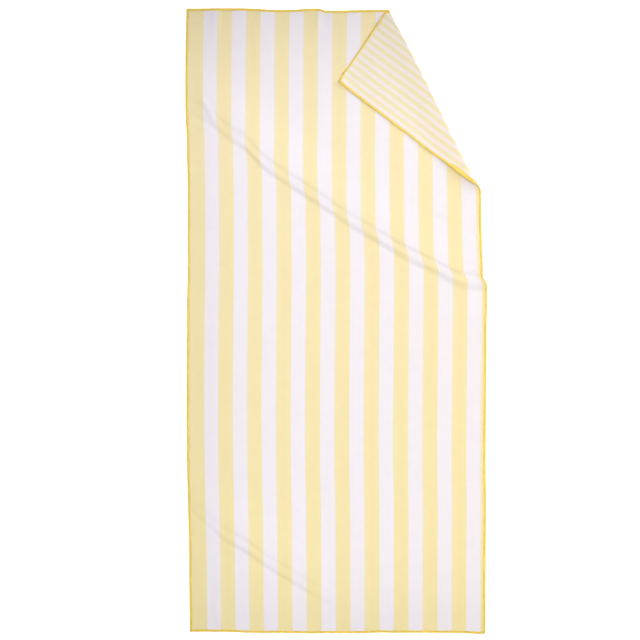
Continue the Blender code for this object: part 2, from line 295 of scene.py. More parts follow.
def read_table(table, column, at):
    """One column at each station: a cubic between rows, whose slope at a row is the harmonic mean
    of its neighbours' slopes, or level where they turn, so it never swings past its rows."""
    stations = table[:, 0]
    values = table[:, column]
    secants = np.diff(values) / np.diff(stations)
    before = secants[:-1]
    after = secants[1:]
    same_way = before * after > 0.0
    slopes = np.concatenate((secants[:1], np.zeros(len(before)), secants[-1:]))
    slopes[1:-1][same_way] = 2.0 * (before * after)[same_way] / (before + after)[same_way]
    at = np.clip(at, stations[0], stations[-1])
    row = np.clip(np.searchsorted(stations, at) - 1, 0, len(stations) - 2)
    span = stations[row + 1] - stations[row]
    t = (at - stations[row]) / span
    start = values[row] * (1 + 2 * t) * (1 - t) ** 2 + slopes[row] * span * t * (1 - t) ** 2
    end = values[row + 1] * t * t * (3 - 2 * t) - slopes[row + 1] * span * t * t * (1 - t)
    return start + end


def ridge_rise(table, band, flank, across, along):
    """The ridge's height at each column, times a share of an ease up its lower flank, the rest of
    an ease up its upper one, and less an ease along its run-out."""
    across = np.clip(across, CLIMB_END, TOWEL_WIDTH - CLIMB_END)
    past = along - read_table(table, 1, across)
    lower = LOWER_SHARE * ease(past / flank + 0.5)
    upper = (1.0 - LOWER_SHARE) * ease((past - band) / UPPER_FLANK + 0.5)
    run_out = ease((past - band) / RUN_OUT)
    return read_table(table, 2, across) * (lower + upper - run_out)


def edge_distance(across, along):
    """How far a point lies in from the nearest edge."""
    return np.minimum(np.minimum(across, TOWEL_WIDTH - across),
                      np.minimum(along, TOWEL_LENGTH - along))


def edge_climb(across, along):
    """Lift next to the four edges, where the cloth rises to the middle of the edging."""
    inside = edge_distance(across, along)
    return EDGE_LIFT * (1.0 - ease((inside - CLIMB_END) / (CLIMB_START - CLIMB_END)))


def small_folds(across, along):
    """Each fold is its height times the squared cosine of the distance off its line over its half
    width, times an ease in and out along the line."""
    rise = np.zeros_like(across)
    for start_across, start_along, end_across, end_along, height, half_width in SMALL_FOLDS:
        run = np.hypot(end_across - start_across, end_along - start_along)
        way = ((end_across - start_across) / run, (end_along - start_along) / run)
        down = (across - start_across) * way[0] + (along - start_along) * way[1]
        off = (along - start_along) * way[0] - (across - start_across) * way[1]
        share = down / run
        fade = ease(share / FOLD_FADE_IN) * ease((1.0 - share) / FOLD_FADE_OUT)
        rise += height * fade * np.cos(math.pi / 2 * np.clip(off / half_width, -1, 1)) ** 2
    return rise


def broad_waves(across, along):
    """A sum of a few plane sine waves, lifted so that the cloth never dips below the floor."""
    rise = np.zeros_like(across)
    for over, up, height, phase in BROAD_WAVES:
        angle = 2 * math.pi * (across / over + along / up) + phase
        rise += height * (1 + np.sin(angle)) / 2
    return rise


def fold_axes():
    """Start of the fold line on the top edge, its direction, the way out past it, its length."""
    start = np.array((FOLD_ON_TOP_EDGE, TOWEL_LENGTH))
    end = np.array((TOWEL_WIDTH, FOLD_ON_RIGHT_EDGE))
    length = np.linalg.norm(end - start)
    direction = (end - start) / length
    outwards = np.array((-direction[1], direction[0]))
    return start, direction, outwards, length


def roll_radius(share):
    """Radius of the rolled fold at a share of the fold line's length."""
    return ROLL_RADIUS_TOP + (ROLL_RADIUS_RIGHT - ROLL_RADIUS_TOP) * share


def glide_turn(radius):
    """Angle that the roll turns beyond a half turn, so that the flap comes down in its glide."""
    return (2 * radius - FLAP_REST_HEIGHT) / (FLAP_GLIDE + FLAP_LANDING / 2)


def pull_flap(across, along, share):
    """Wander the two free edges of the turned corner and lift its tip."""
    from_tip = np.hypot(TOWEL_WIDTH - across, TOWEL_LENGTH - along)
    lift = TIP_LIFT * ease(1.0 - from_tip / TIP_REACH)
    over = read_table(FLAP_EDGE_DRIFT, 1, along) * share
    near_top = ease(1.0 - (TOWEL_LENGTH - along) / DRIFT_REACH)
    up = read_table(FLAP_TOP_DRIFT, 1, across) * near_top * share
    return across + over, along + up, lift


def turn_corner(across, along):
    """Carry the corner over the fold. Seen square to the fold line the cloth is a row of arcs and
    straight runs, each with a length and a turn, and a point past the line walks along them."""
    start, direction, outwards, length = fold_axes()
    past_line = (across - start[0]) * outwards[0] + (along - start[1]) * outwards[1]
    across, along, height = pull_flap(across, along, ease(past_line / FLAP_DRIFT_START))
    down_line = (across - start[0]) * direction[0] + (along - start[1]) * direction[1]
    past_line = (across - start[0]) * outwards[0] + (along - start[1]) * outwards[1]
    radius = roll_radius(down_line / length)
    turn = glide_turn(radius)
    pieces = (
        ((math.pi + turn) * radius, math.pi + turn),
        (FLAP_GLIDE, 0.0),
        (FLAP_LANDING, -turn),
    )
    left_over = np.maximum(past_line + radius, 0.0)
    out = np.minimum(past_line, -radius)
    heading = np.zeros_like(out)
    for piece_length, piece_turn in pieces:
        walked = np.minimum(left_over, piece_length)
        turned = piece_turn * walked / piece_length
        chord = walked * np.sinc(turned / (2 * math.pi))
        out = out + chord * np.cos(heading + turned / 2)
        height = height + chord * np.sin(heading + turned / 2)
        heading = heading + turned
        left_over = left_over - walked
    out = out - left_over
    return (start[0] + down_line * direction[0] + out * outwards[0],
            start[1] + down_line * direction[1] + out * outwards[1], height)


def bow_out(across, along):
    """Move the cloth near the fold line out by the bow read at its share of the line, which eases
    away inwards."""
    start, direction, outwards, length = fold_axes()
    down_line = (across - start[0]) * direction[0] + (along - start[1]) * direction[1]
    inside = (start[0] - across) * outwards[0] + (start[1] - along) * outwards[1]
    near_line = ease(1.0 - inside / DRIFT_REACH)
    bow = read_table(FOLD_BOW, 1, down_line / length) * near_line
    return across + bow * outwards[0], along + bow * outwards[1]


def spread_out(across, along):
    """From even plan coordinates to where the wandering edges put the point on the floor."""
    left = LEFT_EDGE_X + read_table(LEFT_EDGE_DRIFT, 1, along)
    right = RIGHT_EDGE_X + read_table(RIGHT_EDGE_DRIFT, 1, along)
    share = across / TOWEL_WIDTH
    in_band = (along - read_table(SIDE_STEP, 1, across)) / read_table(SIDE_STEP, 2, across)
    below = 1.0 - ease(in_band / 2 + 0.5)
    shift = read_table(SIDE_STEP, 3, across) * below
    near_top = ease(1.0 - (TOWEL_LENGTH - along) / DRIFT_REACH)
    near_bottom = ease(1.0 - along / DRIFT_REACH)
    drift = (read_table(TOP_EDGE_DRIFT, 1, across) * near_top
             + read_table(BOTTOM_EDGE_DRIFT, 1, across) * near_bottom)
    return left + (right - left) * share + shift, along + drift - ORIGIN_ALONG


def middle(across, along):
    """Place on the middle of the cloth's thickness: the turned corner's plan and height, plus the
    climb to the edges, the two ridges, the small folds and the broad waves."""
    rise = (CLOTH_THICKNESS / 2 + edge_climb(across, along)
            + ridge_rise(MAIN_RIDGE, MAIN_RIDGE_BAND, MAIN_RIDGE_FLANK, across, along)
            + ridge_rise(SMALL_RIDGE, SMALL_RIDGE_BAND, SMALL_RIDGE_FLANK, across, along)
            + small_folds(across, along)
            + broad_waves(across, along))
    plan_across, plan_along, height = turn_corner(across, along)
    x, y = spread_out(*bow_out(plan_across, plan_along))
    return np.stack((x, y, rise + height), axis=-1)


def lay(points):
    """Carry flat points to where the towel lies: the middle of the cloth at their place, plus
    their height above it along the cloth's own normal."""
    across, along, above = points.T
    over = middle(across + NORMAL_STEP, along) - middle(across - NORMAL_STEP, along)
    up = middle(across, along + NORMAL_STEP) - middle(across, along - NORMAL_STEP)
    normal = np.cross(over, up)
    normal /= np.linalg.norm(normal, axis=1, keepdims=True)
    return middle(across, along) + normal * above[:, None]


# ---------------------------------------------------------------- meshes

FLAT_MAP = "flat_metres"


def grid_faces(rows, columns, closed=False):
    """Four corners of each cell of a grid whose vertices run row by row. A closed grid joins its
    last column to its first."""
    cells = columns if closed else columns - 1
    row, column = np.meshgrid(np.arange(rows - 1), np.arange(cells), indexing="ij")
    following = (column + 1) % columns
    corners = (row * columns + column, row * columns + following,
               (row + 1) * columns + following, (row + 1) * columns + column)
    return np.stack(corners, axis=-1).reshape(-1, 4)


def make_piece(name, points, faces, flat_map, materials, material_of_face=None):
    """Put whole arrays of points, four-cornered faces and map places into a mesh object."""
    mesh = bpy.data.meshes.new(name)
    mesh.vertices.add(len(points))
    mesh.vertices.foreach_set("co", points.astype(np.float32).ravel())
    mesh.loops.add(faces.size)
    mesh.loops.foreach_set("vertex_index", faces.astype(np.int32).ravel())
    mesh.polygons.add(len(faces))
    mesh.polygons.foreach_set("loop_start", np.arange(0, faces.size, 4, dtype=np.int32))
    if material_of_face is not None:
        mesh.polygons.foreach_set("material_index", material_of_face.astype(np.int32))
    mesh.update(calc_edges=True)
    layer = mesh.uv_layers.new(name=FLAT_MAP)
    layer.data.foreach_set("uv", flat_map[faces.ravel()].astype(np.float32).ravel())
    for material in materials:
        mesh.materials.append(material)
    mesh.shade_smooth()
    piece = bpy.data.objects.new(name, mesh)
    bpy.context.scene.collection.objects.link(piece)
    return piece


def weld(piece):
    """Merge the points that lie on one another, which also drops the cells that have no area."""
    shape = bmesh.new()
    shape.from_mesh(piece.data)
    bmesh.ops.remove_doubles(shape, verts=shape.verts, dist=MERGE_DISTANCE)
    shape.to_mesh(piece.data)
    shape.free()


def face_outwards(piece):
    """Turn every closed part's faces outwards."""
    shape = bmesh.new()
    shape.from_mesh(piece.data)
    bmesh.ops.recalc_face_normals(shape, faces=shape.faces)
    shape.to_mesh(piece.data)
    shape.free()


# ---------------------------------------------------------------- cloth

# The grid's lines in each margin, and how many cells there are between each two of its guides
MARGIN_LINES = np.array([RAW_EDGE_INSET, 0.004, CLIMB_END, 0.013, 0.018, 0.024, CLIMB_START])
COLUMNS_LEFT_OF_FOLD = 80
COLUMNS_AT_FOLD = 46
RIDGE_MARGIN = 0.018
ROWS_IN_MARGIN = 7
ROWS_BELOW_SMALL_RIDGE = 24
ROWS_ON_SMALL_RIDGE = 20
ROWS_BETWEEN_RIDGES = 105
ROWS_ON_MAIN_RIDGE = 28
ROWS_ABOVE_MAIN_RIDGE = 72
ROWS_BEFORE_ROLL = 6
ROWS_ROUND_ROLL = 18
ROWS_IN_GLIDE = 8
ROWS_IN_LANDING = 8
ROWS_ON_FLAP = 28


def cloth_columns():
    """Places of the columns across: close together in both margins, and a little closer to the
    right of the fold's start than to its left."""
    left = np.linspace(CLIMB_START, FOLD_ON_TOP_EDGE, COLUMNS_LEFT_OF_FOLD + 1)
    right = np.linspace(FOLD_ON_TOP_EDGE, TOWEL_WIDTH - CLIMB_START, COLUMNS_AT_FOLD + 1)
    return np.concatenate((MARGIN_LINES, left[1:], right[1:-1],
                           TOWEL_WIDTH - MARGIN_LINES[::-1]))


def cloth_rows(across):
    """Places of the rows along, at each column. Guide rows follow the two ridges, the fold line
    and the arcs past it, with even rows between each two of them. Left of the fold the guides past
    it all fall on the top edge."""
    inner = np.clip(across, CLIMB_END, TOWEL_WIDTH - CLIMB_END)
    level = np.ones_like(across)
    lower = read_table(SMALL_RIDGE, 1, inner)
    main = read_table(MAIN_RIDGE, 1, inner)
    top = TOWEL_LENGTH - RAW_EDGE_INSET
    start, direction, outwards, _ = fold_axes()
    line = start[1] + (across - start[0]) * direction[1] / direction[0]
    share = np.clip((across - start[0]) / (TOWEL_WIDTH - start[0]), 0.0, 1.0)
    radius = roll_radius(share)
    # The roll starts a radius before the line, so it ends its own length less a radius past it
    roll_end = (math.pi + glide_turn(radius)) * radius - radius

    def past(distance):
        return np.minimum(line + distance / outwards[1], top)

    flap_start = past(roll_end + FLAP_GLIDE + FLAP_LANDING)
    guides = (
        (CLIMB_START * level, ROWS_IN_MARGIN),
        (lower - RIDGE_MARGIN, ROWS_BELOW_SMALL_RIDGE),
        (lower + SMALL_RIDGE_BAND + RIDGE_MARGIN, ROWS_ON_SMALL_RIDGE),
        (main - RIDGE_MARGIN, ROWS_BETWEEN_RIDGES),
        (main + MAIN_RIDGE_BAND + RIDGE_MARGIN, ROWS_ON_MAIN_RIDGE),
        (np.minimum(line, TOWEL_LENGTH) - CLIMB_START, ROWS_ABOVE_MAIN_RIDGE),
        (past(-radius), ROWS_BEFORE_ROLL),
        (past(roll_end), ROWS_ROUND_ROLL),
        (past(roll_end + FLAP_GLIDE), ROWS_IN_GLIDE),
        (flap_start, ROWS_IN_LANDING),
        (np.maximum(flap_start, TOWEL_LENGTH - CLIMB_START), ROWS_ON_FLAP),
        (top * level, ROWS_IN_MARGIN),
    )
    before = RAW_EDGE_INSET * level
    rows = [before[None, :]]
    for guide, count in guides:
        shares = np.arange(1, count + 1)[:, None] / count
        rows.append(before + (guide - before) * shares)
        before = guide
    return np.concatenate(rows)


def make_cloth(face_print, back_print):
    """The one length of cloth: an upper and a lower skin on the same grid, a thickness apart, and a
    rim of faces that joins them all the way round."""
    columns = cloth_columns()
    along = cloth_rows(columns)
    rows, count = along.shape
    across = np.broadcast_to(columns, along.shape)
    flat = np.stack((across.ravel(), along.ravel()), axis=-1)
    half = np.full(len(flat), CLOTH_THICKNESS / 2)
    upper = lay(np.column_stack((flat, half)))
    lower = lay(np.column_stack((flat, -half)))
    skin = grid_faces(rows, count)
    number = np.arange(rows * count).reshape(rows, count)
    outline = np.concatenate((number[0, :-1], number[:-1, -1], number[-1, :0:-1], number[:0:-1, 0]))
    following = np.roll(outline, -1)
    below = rows * count
    rim = np.stack((outline + below, following + below, following, outline), axis=-1)
    faces = np.concatenate((skin, skin[:, ::-1] + below, rim))
    side = np.concatenate((np.zeros(len(skin)), np.ones(len(skin)), np.zeros(len(rim))))
    piece = make_piece("cloth_sheet", np.concatenate((upper, lower)), faces,
                       np.concatenate((flat, flat)), (face_print, back_print), side)
    weld(piece)
    return piece


# ---------------------------------------------------------------- overlocked edging

# A flat strip of laid threads wraps the raw edge, and one looper thread winds round it
STRIP_CLEARANCE = 0.00010
STRIP_HALF_DEPTH = 0.00105
STRIP_BEVEL = 0.0004
STRIP_STATION = 0.005
LOOP_PITCH = 0.0017
LOOP_RADIUS = 0.00046
LOOP_POINTS = 12
LOOP_UNEVENNESS = 0.00022
NEEDLE_INSET = 0.0067
NEEDLE_RADIUS = 0.00036
NEEDLE_POINTS = 3
# A stitch's thickness where it goes through the cloth and what it gains at its middle, as shares
NEEDLE_NIP = 0.6
NEEDLE_SWELL = 0.6
# Every thread has four sides, so one face closes its end
THREAD_SIDES = 4
MITRE_SETBACK = 0.0003
THREAD_SEED = 7
# On the turned corner the edging is drawn out thin along the top side and bunched up near the fold
# on the right side. Columns: station along the side, its width as a share of the full one
TOP_SPREAD = np.array([
    (0.000, 1.00),
    (0.590, 1.00),
    (0.625, 0.74),
    (0.835, 0.74),
    (0.860, 1.00),
])
RIGHT_SPREAD = np.array([
    (0.000, 1.00),
    (1.275, 1.00),
    (1.305, 1.15),
    (1.330, 1.50),
    (1.356, 1.85),
    (1.378, 1.75),
    (1.393, 1.15),
    (1.450, 0.95),
    (1.600, 0.90),
    (1.700, 1.05),
    (1.790, 1.10),
])


def edge_run(side):
    """How long one side's edging is, and the function that turns (station along it, inset from the
    outline, above) into flat points. Both ends are held back behind the mitre line, and the inset
    is multiplied by the side's spread at its station."""
    length = TOWEL_LENGTH if side in ("left", "right") else TOWEL_WIDTH
    spreads = {"top": TOP_SPREAD, "right": RIGHT_SPREAD}

    def place(station, inset, above):
        station = np.clip(station, inset + MITRE_SETBACK, length - inset - MITRE_SETBACK)
        if side in spreads:
            inset = inset * read_table(spreads[side], 1, station)
        if side == "left":
            return np.stack((inset, station, above), axis=-1)
        if side == "right":
            return np.stack((TOWEL_WIDTH - inset, station, above), axis=-1)
        if side == "bottom":
            return np.stack((station, inset, above), axis=-1)
        return np.stack((station, TOWEL_LENGTH - inset, above), axis=-1)

    return length, place


def strip_section():
    """Section of the strip as (inset, above): out over the top, round the raw edge and back."""
    inner = CLOTH_THICKNESS / 2 + STRIP_CLEARANCE
    upper = np.array([
        (RAW_EDGE_INSET - STRIP_CLEARANCE, inner),
        (EDGING_WIDTH, inner),
        (EDGING_WIDTH - STRIP_BEVEL, STRIP_HALF_DEPTH),
        (STRIP_BEVEL + LOOP_RADIUS, STRIP_HALF_DEPTH),
        (LOOP_RADIUS, STRIP_HALF_DEPTH - STRIP_BEVEL),
    ])
    return np.concatenate((upper, upper[::-1] * (1, -1)))


def make_strip(length, place):
    """The section carried along the edge, station by station, with a cap at each end. The stations
    next to the ends would lie within the mitres and make faces with no area, so they are left
    out."""
    section = strip_section()
    stations = np.linspace(0.0, length, round(length / STRIP_STATION) + 1)
    stations = np.delete(stations, (1, -2))
    station, inset = np.meshgrid(stations, section[:, 0], indexing="ij")
    above = np.broadcast_to(section[:, 1], station.shape)
    points = place(station, inset, above).reshape(-1, 3)
    count = len(section)
    faces = grid_faces(len(stations), count, closed=True)
    half = count // 2
    first = np.arange(half - 1)
    cap = np.stack((first, first + 1, count - 2 - first, count - 1 - first), axis=-1)
    last = (len(stations) - 1) * count
    caps = np.concatenate((cap, cap[:, ::-1] + last))
    flat_map = np.column_stack((station.ravel(), inset.ravel()))
    return points, np.concatenate((faces, caps)), flat_map


def tube(path, outwards, radius):
    """A round thread: at each point of the path a ring of the given radius, square to the path,
    measured out from the given outward way. The rings are joined and the ends closed. Its map is
    the distance walked along it and the distance round a looper thread."""
    forwards = np.gradient(path, axis=0)
    forwards /= np.linalg.norm(forwards, axis=1, keepdims=True)
    outwards = outwards - forwards * (outwards * forwards).sum(axis=1, keepdims=True)
    outwards /= np.linalg.norm(outwards, axis=1, keepdims=True)
    sideways = np.cross(forwards, outwards)
    corner = np.arange(THREAD_SIDES)
    turns = 2 * math.pi * (corner + 0.5) / THREAD_SIDES
    ring = (np.cos(turns)[None, :, None] * outwards[:, None, :]
            + np.sin(turns)[None, :, None] * sideways[:, None, :])
    points = path[:, None, :] + ring * radius[:, None, None]
    steps = np.linalg.norm(np.diff(path, axis=0), axis=1)
    walked = np.concatenate(([0.0], np.cumsum(steps)))
    way_round = turns[None, :] * LOOP_RADIUS
    flat_map = np.stack(np.broadcast_arrays(walked[:, None], way_round), axis=-1)
    faces = grid_faces(len(path), THREAD_SIDES, closed=True)
    first = corner[None, ::-1]
    last = (len(path) - 1) * THREAD_SIDES + corner[None, :]
    return points.reshape(-1, 3), np.concatenate((faces, first, last)), flat_map.reshape(-1, 2)


def wound_thread(length, jitter):
    """Path of the looper thread as (station, inset, above), and its way out as (inset, above). It
    walks round a stadium, two straight runs and two half circles, a full turn to each pitch along
    the edge. Each turn is moved along the edge by its own jitter."""
    turns = int(length / LOOP_PITCH)
    share = np.arange(turns * LOOP_POINTS) / LOOP_POINTS
    depth = EDGING_HALF_DEPTH - LOOP_RADIUS
    straight = EDGING_WIDTH - 2 * depth
    half_loop = straight + math.pi * depth
    walked = (share % 1.0) * 2 * half_loop
    back = walked >= half_loop
    walked = np.where(back, walked - half_loop, walked)
    way = np.where(back, -1.0, 1.0)
    angle = np.clip((walked - straight) / depth, 0.0, math.pi)
    run = np.minimum(walked, straight)
    out_inset = -way * np.sin(angle)
    out_above = way * np.cos(angle)
    inset = EDGING_WIDTH / 2 + way * (straight / 2 - run) + depth * out_inset
    station = LOOP_PITCH * share + jitter[share.astype(int)]
    return station, inset, depth * out_above, out_inset, out_above


def make_loops(length, place, jitter):
    """The looper thread as a tube in flat coordinates. Its path and its outward way are both put in
    place first, so the tube is square to the edge it is wound on."""
    station, inset, above, out_inset, out_above = wound_thread(length, jitter)
    path = place(station, inset, above)
    outer_path = place(station, inset + out_inset * LOOP_RADIUS, above + out_above * LOOP_RADIUS)
    return tube(path, outer_path - path, np.full(len(path), LOOP_RADIUS))


def make_needle_row(length, place, way):
    """A row of needle stitches on one face, from mitre to mitre: a straight thread that swells in
    the middle of each stitch and is nipped in where it goes through the cloth."""
    count = int(length / LOOP_PITCH) * NEEDLE_POINTS
    share = np.arange(count) / NEEDLE_POINTS
    station = share * LOOP_PITCH
    # All the points past a mitre line would be held back to one place, so one of them is kept
    end = NEEDLE_INSET + MITRE_SETBACK - LOOP_PITCH / NEEDLE_POINTS
    inside = (station > end) & (station < length - end)
    share = share[inside]
    swell = np.sin(math.pi * (share % 1.0)) ** 2
    inset = np.full(len(share), NEEDLE_INSET)
    above = way * (STRIP_HALF_DEPTH - NEEDLE_RADIUS / 2 + NEEDLE_RADIUS * swell)
    path = place(station[inside], inset, above)
    outwards = np.broadcast_to(np.array((0.0, 0.0, way)), path.shape)
    return tube(path, outwards, NEEDLE_RADIUS * (NEEDLE_NIP + NEEDLE_SWELL * swell))


def make_edging(side, thread):
    """One side's edging: its strip, its wound thread and a row of needle stitches on each face,
    joined into one mesh and laid on the floor with the cloth."""
    length, place = edge_run(side)
    random = np.random.default_rng(THREAD_SEED)
    jitter = random.uniform(-LOOP_UNEVENNESS, LOOP_UNEVENNESS, int(length / LOOP_PITCH) + 1)
    parts = (
        make_strip(length, place),
        make_loops(length, place, jitter),
        make_needle_row(length, place, 1.0),
        make_needle_row(length, place, -1.0),
    )
    points, faces, flat_maps = zip(*parts)
    starts = np.cumsum([0] + [len(part_points) for part_points in points])
    faces = [part_faces + start for part_faces, start in zip(faces, starts)]
    piece = make_piece(f"overlock_{side}", lay(np.concatenate(points)), np.concatenate(faces),
                       np.concatenate(flat_maps), (thread,))
    face_outwards(piece)
    return piece


# ---------------------------------------------------------------- finishes

# Printed stripes of the face: the first yellow one is wider than the rest
FACE_STRIPE = 0.0418
FACE_WHITE_MIDDLE = 0.0502 + FACE_STRIPE / 2
FACE_FIRST_YELLOW = 0.0515
# Printed stripes of the back, four to each one of the face
BACK_STRIPE = FACE_STRIPE / 4
BACK_WHITE_MIDDLE = 0.0527
BACK_FIRST_YELLOW = 0.0
# The dye follows the nap, so a stripe's edge is soft and a little ragged
PRINT_SOFTNESS = 0.0009
PRINT_RAGGEDNESS = 0.0012
PRINT_RAG_LENGTH = 0.0044
# Painted shade: the yellow is drawn deeper at the bottom of the towel, where the light falls off,
# and eases to the plain print yellow between these two places along the towel
PAINTED_SHADE_FULL = 0.15
PAINTED_SHADE_GONE = 1.45
# Nap of brushed microfibre: tufts, drawn darker where they lie low as painted shade, and patches
# where the nap lies another way. Real tufts are about
# 0.3 mm wide and real knit ribs about 0.8 mm, too fine to show, so both are drawn coarser here
NAP_TUFT = 0.0011
NAP_PATCH = 0.034
NAP_TUFT_HEIGHT = 0.00025
NAP_STRENGTH = 0.6
NAP_TUFT_SHADE = {"To Min": 0.955, "To Max": 1.030}
NAP_PATCH_TONE = {"To Min": 0.972, "To Max": 1.022}
KNIT_RIB = 0.0016
KNIT_RIB_SHARE = 0.25
# Looper thread: slanting bands for its plies, drawn darker in the grooves between them and lighter
# on their crowns as painted shade and light, and stretches of deeper and paler dye
PLY_BAND = 0.0024166
PLY_HEIGHT = 0.0001
PLY_STRENGTH = 0.7
PLY_SHADE = {"To Min": 0.92, "To Max": 1.04}
THREAD_PATCH = 0.011
THREAD_PATCH_TONE = {"To Min": 0.90, "To Max": 1.10}
# Grain of the floor paper, and the light of its own that keeps it white
PAPER_GRAIN = 0.020
PAPER_GRAIN_HEIGHT = 0.0001
PAPER_STRENGTH = 0.2
FLOOR_GLOW = 0.80

PRINT_YELLOW = "#FBEBBA"
# Painted shade: the yellow drawn deeper at the bottom of the towel, where the light falls off
PRINT_SHADED_YELLOW = "#FBEBB1"
PRINT_WHITE = "#F8F2F6"
BACK_YELLOW = "#F4EABC"
BACK_WHITE = "#FAEDE8"
THREAD_YELLOW = "#FDE066"
FLOOR_WHITE = "#F7F7F7"

POLYESTER_IOR = 1.57
WHITE = (1.0, 1.0, 1.0, 1.0)

# A Mix node's colour sockets have the same names as its others, so they are taken by number
MIX_FIRST = 6
MIX_SECOND = 7
MIX_RESULT = 2


def colour(code):
    """An sRGB hex colour as linear red, green, blue and alpha."""
    shares = np.array([int(code[place:place + 2], 16) for place in (1, 3, 5)]) / 255
    linear = np.where(shares <= 0.04045, shares / 12.92, ((shares + 0.055) / 1.055) ** 2.4)
    return (*(float(value) for value in linear), 1.0)


def add_node(tree, kind, settings, inputs):
    """Add a node with its own settings. An input is a value, or another node's output to link."""
    node = tree.nodes.new(kind)
    for name, value in settings.items():
        setattr(node, name, value)
    for socket, value in inputs.items():
        if isinstance(value, bpy.types.NodeSocket):
            tree.links.new(value, node.inputs[socket])
        else:
            node.inputs[socket].default_value = value
    return node


def new_finish(name, even):
    """A new material, its node tree and its Principled shader. What is even all over the surface is
    set on the shader's own sockets."""
    material = bpy.data.materials.new(name)
    material.use_nodes = True
    surface = material.node_tree.nodes["Principled BSDF"]
    for socket, value in even.items():
        surface.inputs[socket].default_value = value
    return material, material.node_tree, surface


def brushed_microfibre(name, stripe, white_middle, first_yellow, yellow, shaded_yellow, white):
    """Polyester microfibre cloth, warp-knitted, printed and brushed to a short nap. It is matt and
    soft, with a faint bloom at grazing angles, and its tone shifts where the nap lies another way.

    A place is yellow where its distance from the middle of the nearest white stripe is more than
    half a stripe, and everywhere up to the end of the first yellow stripe, with soft steps. The
    yellow is drawn deeper towards the bottom of the towel, as painted shade where the light falls
    off.
    """
    material, tree, surface = new_finish(name, {
        "Roughness": 0.92,
        "IOR": POLYESTER_IOR,
        "Specular IOR Level": 0.20,
        "Sheen Weight": 0.12,
        "Sheen Roughness": 0.45,
    })
    flat = add_node(tree, "ShaderNodeUVMap", {"uv_map": FLAT_MAP}, {}).outputs["UV"]
    parts = add_node(tree, "ShaderNodeSeparateXYZ", {}, {"Vector": flat})
    across = parts.outputs["X"]
    ragged = add_node(tree, "ShaderNodeTexNoise", {},
                      {"Vector": flat, "Scale": 1 / PRINT_RAG_LENGTH, "Detail": 2.0})
    wander = add_node(tree, "ShaderNodeMapRange", {}, {
        "Value": ragged.outputs["Fac"],
        "To Min": -PRINT_RAGGEDNESS,
        "To Max": PRINT_RAGGEDNESS,
    })
    off = add_node(tree, "ShaderNodeMath", {"operation": "SUBTRACT"}, {0: across, 1: white_middle})
    away = add_node(tree, "ShaderNodeMath", {"operation": "PINGPONG"},
                    {0: off.outputs[0], 1: stripe})
    first = add_node(tree, "ShaderNodeMath", {"operation": "SUBTRACT"},
                     {0: first_yellow + stripe / 2, 1: across})
    reach = add_node(tree, "ShaderNodeMath", {"operation": "MAXIMUM"},
                     {0: away.outputs[0], 1: first.outputs[0]})
    edge = add_node(tree, "ShaderNodeMath", {"operation": "ADD"},
                    {0: reach.outputs[0], 1: wander.outputs["Result"]})
    dyed = add_node(tree, "ShaderNodeMapRange", {"interpolation_type": "SMOOTHSTEP"}, {
        "Value": edge.outputs[0],
        "From Min": stripe / 2 - PRINT_SOFTNESS,
        "From Max": stripe / 2 + PRINT_SOFTNESS,
    })
    # Painted shade: how far along the towel the yellow is drawn deeper, fully at the bottom
    depth = add_node(tree, "ShaderNodeMapRange", {},
                     {"Value": parts.outputs["Y"], "From Min": PAINTED_SHADE_FULL, "From Max": PAINTED_SHADE_GONE})
    # Painted shade: the print yellow mixed with its deeper, shaded copy towards the bottom
    dye_and_shade = add_node(tree, "ShaderNodeMix", {"data_type": "RGBA"}, {
        "Factor": depth.outputs["Result"],
        MIX_FIRST: colour(shaded_yellow),
        MIX_SECOND: colour(yellow),
    })
    stripes = add_node(tree, "ShaderNodeMix", {"data_type": "RGBA"}, {
        "Factor": dyed.outputs["Result"],
        MIX_FIRST: colour(white),
        MIX_SECOND: dye_and_shade.outputs[MIX_RESULT],
    })
    patches = add_node(tree, "ShaderNodeTexNoise", {},
                       {"Vector": flat, "Scale": 1 / NAP_PATCH, "Detail": 4.0, "Roughness": 0.62})
    tufts = add_node(tree, "ShaderNodeTexNoise", {},
                     {"Vector": flat, "Scale": 1 / NAP_TUFT, "Detail": 3.0, "Roughness": 0.6})
    patch_tone = add_node(tree, "ShaderNodeMapRange", {},
                          {"Value": patches.outputs["Fac"], **NAP_PATCH_TONE})
    # Painted shade: the tufts drawn darker where their bump lies low, from the same noise
    tuft_shade = add_node(tree, "ShaderNodeMapRange", {},
                         {"Value": tufts.outputs["Fac"], **NAP_TUFT_SHADE})
    # The nap patches' random tone times the tufts' painted shade
    tone_and_shade = add_node(tree, "ShaderNodeMath", {"operation": "MULTIPLY"},
                    {0: patch_tone.outputs["Result"], 1: tuft_shade.outputs["Result"]})
    cloth = add_node(tree, "ShaderNodeVectorMath", {"operation": "SCALE"},
                     {0: stripes.outputs[MIX_RESULT], "Scale": tone_and_shade.outputs[0]})
    # A wave texture's X bands come pi / 10 apart, over its scale
    ribs = add_node(tree, "ShaderNodeTexWave", {"bands_direction": "X"},
                    {"Vector": flat, "Scale": math.pi / 10 / KNIT_RIB, "Distortion": 0.6})
    relief = add_node(tree, "ShaderNodeMath", {"operation": "MULTIPLY_ADD"},
                      {0: ribs.outputs["Fac"], 1: KNIT_RIB_SHARE, 2: tufts.outputs["Fac"]})
    bump = add_node(tree, "ShaderNodeBump", {}, {
        "Height": relief.outputs[0],
        "Distance": NAP_TUFT_HEIGHT,
        "Strength": NAP_STRENGTH,
    })
    tree.links.new(cloth.outputs["Vector"], surface.inputs["Base Color"])
    tree.links.new(bump.outputs["Normal"], surface.inputs["Normal"])
    return material


